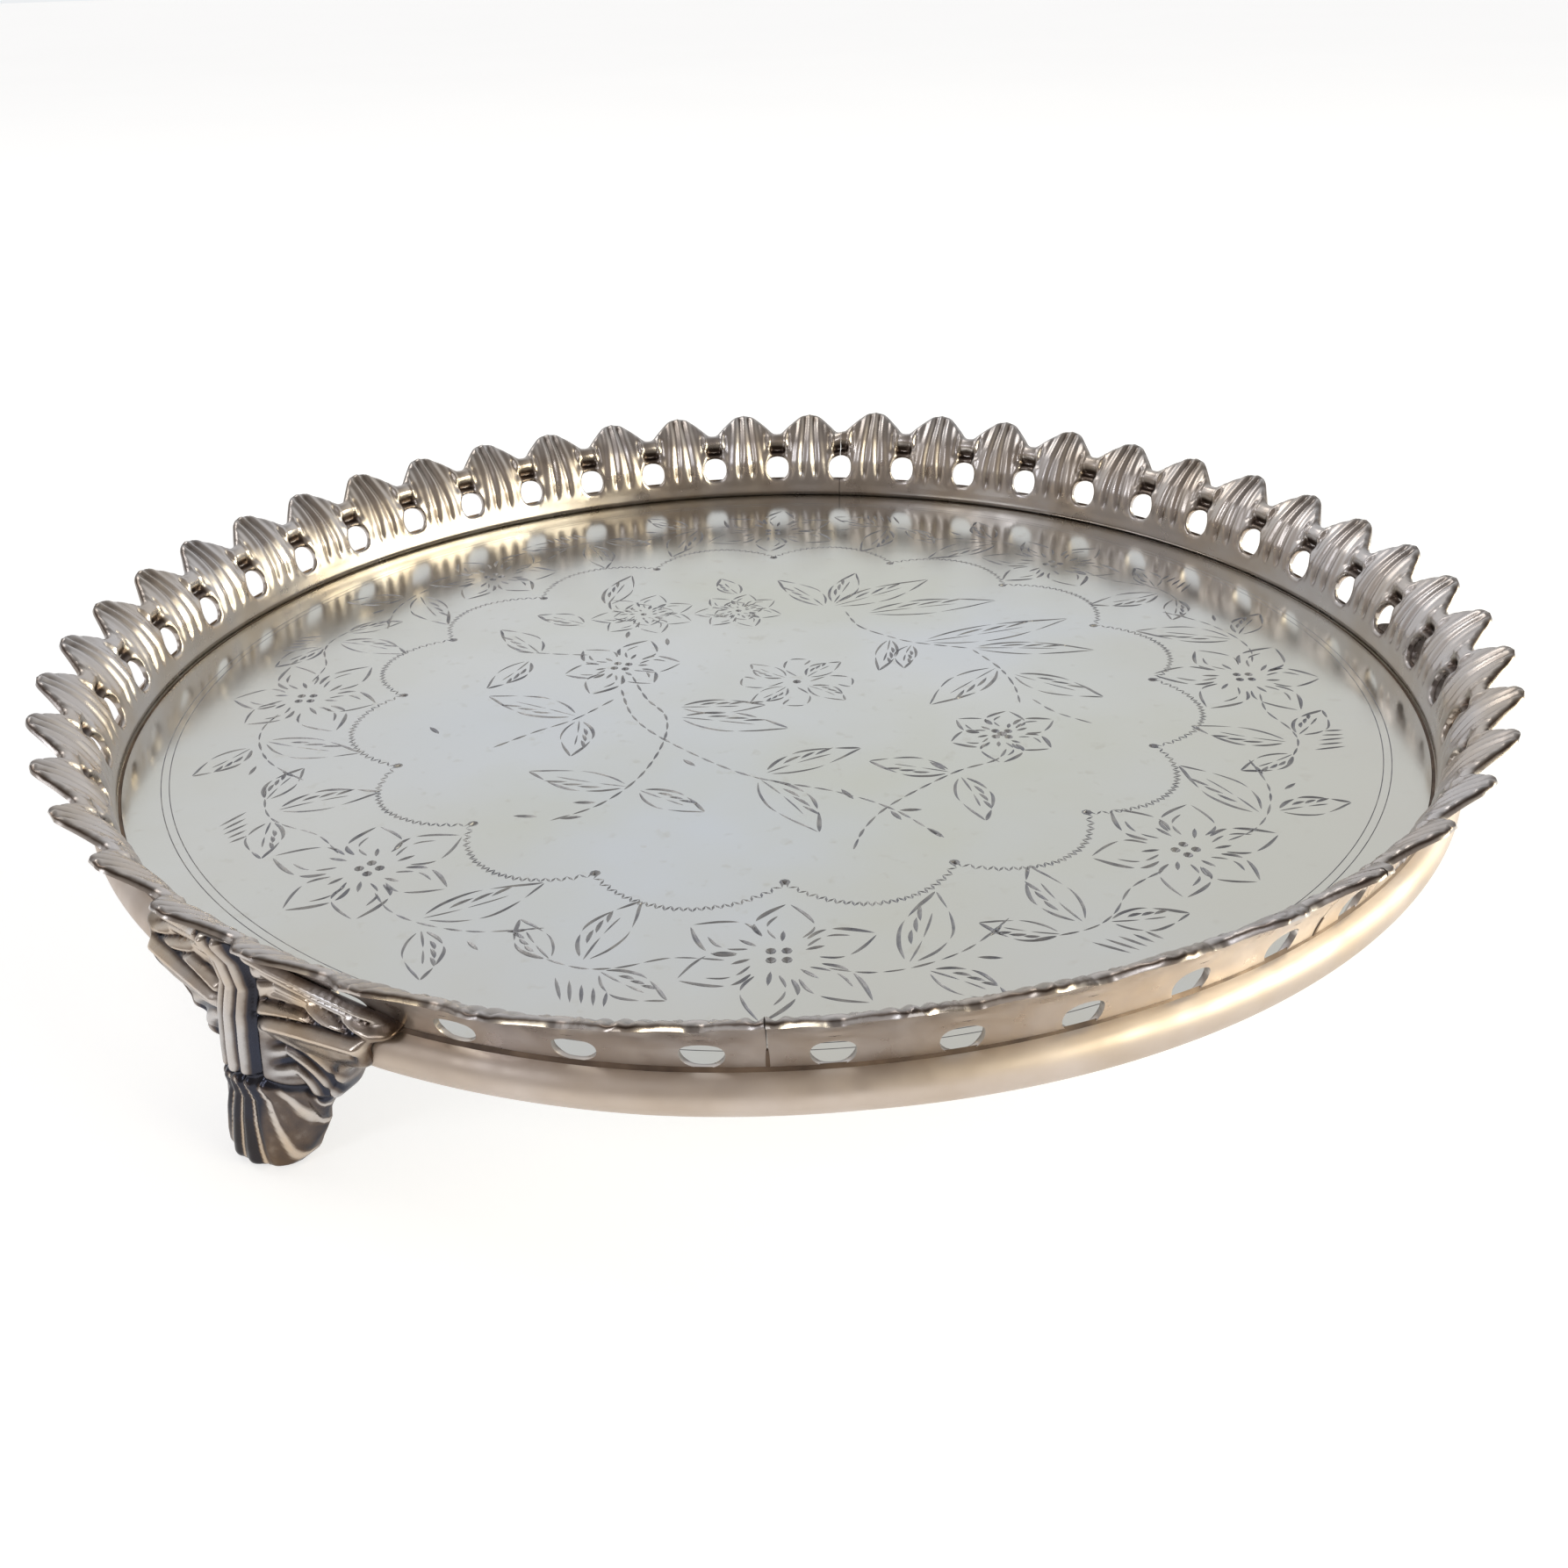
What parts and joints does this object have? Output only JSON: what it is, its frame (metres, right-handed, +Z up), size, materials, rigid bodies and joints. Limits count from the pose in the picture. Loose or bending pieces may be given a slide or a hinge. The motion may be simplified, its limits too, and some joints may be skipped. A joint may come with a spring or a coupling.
{
  "type": "footed salver",
  "caption": "Round silver salver with a pierced and flared leaf gallery, an engraved plate, a half-round apron moulding and three cast leaf-and-shell feet",
  "frame": {"origin": "on the table, under the middle of the plate", "axes": "+Z up, square to the plate; -Y towards the front; the feet stand at 234, 354 and 116 degrees counter-clockwise from +X"},
  "size_m": [0.3049, 0.3049, 0.0513],
  "materials": {
    "plate_silver": "polished silver plate, hand worn, with a light yellow tarnish",
    "apron_silver": "polished silver plate, worn to a warm tone",
    "gallery_silver": "stamped silver plate with dark tarnish in the hollows",
    "cast_silver": "cast silver plate with dark tarnish in the hollows"
  },
  "bodies": {
    "root": {"salver_plate": "plate_silver", "apron_moulding": "apron_silver", "gallery_strip_left": "gallery_silver", "gallery_strip_right": "gallery_silver", "gallery_strip_front": "gallery_silver", "foot_front_left": "cast_silver", "foot_right": "cast_silver", "foot_back": "cast_silver"}
  },
  "joints": []
}
